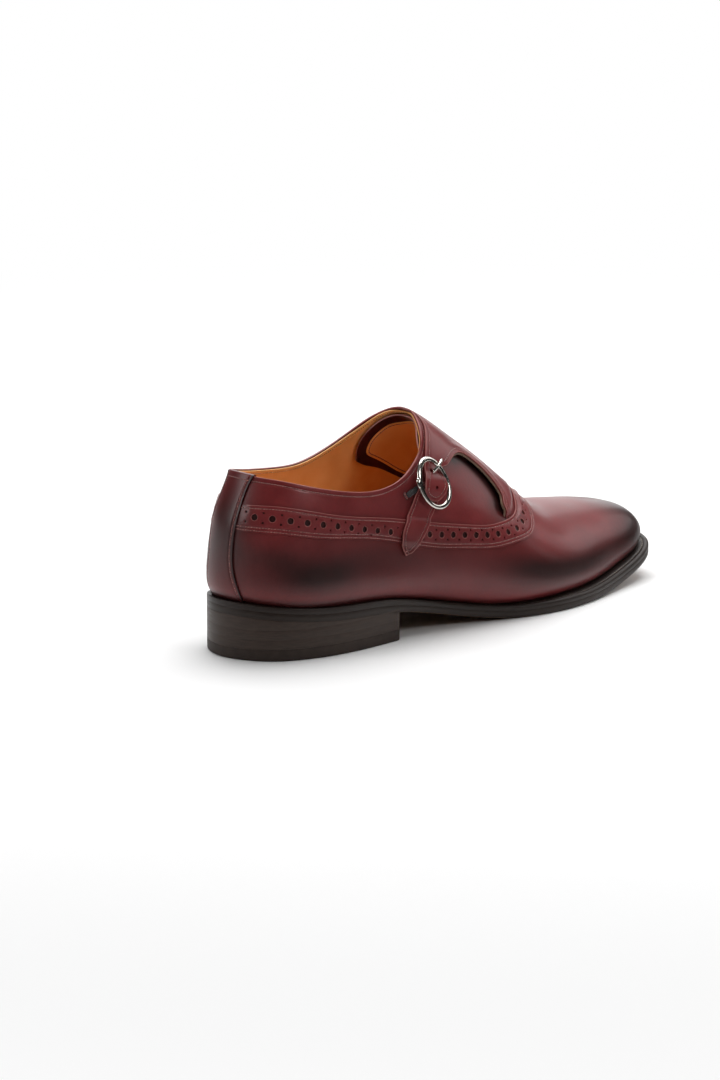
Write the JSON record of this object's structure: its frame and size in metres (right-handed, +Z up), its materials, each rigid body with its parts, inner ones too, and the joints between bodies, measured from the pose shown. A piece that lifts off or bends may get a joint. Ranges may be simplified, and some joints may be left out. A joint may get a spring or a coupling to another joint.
{
  "type": "brogued monk-strap shoe",
  "caption": "Right leather dress shoe with one buckled strap over the instep, a punched band round the quarters, a welted leather sole and a low stacked heel.",
  "frame": {"origin": "middle of the shoe's box, on the floor it stands on", "axes": "toe towards -Y, the shoe's outer (lateral) side and buckle towards -X, +Z up"},
  "size_m": [0.1062, 0.3, 0.1143],
  "materials": {
    "calf": "polished oxblood calf, darker at toe and heel",
    "lining": "matt tan lining leather",
    "sole_leather": "dark brown stained and waxed sole edge",
    "rubber": "matt black rubber",
    "elastic": "black ribbed elastic",
    "metal": "polished nickel plate"
  },
  "bodies": {
    "root": {"outsole": "sole_leather", "heel_stack": "sole_leather", "top_piece": "rubber", "welt": "sole_leather", "insole": "lining", "upper": "calf", "tongue": "lining", "strap": "calf", "buckle_tab": "calf", "buckle_elastic": "elastic", "buckle_frame": "metal", "buckle_prong": "metal"}
  },
  "joints": []
}
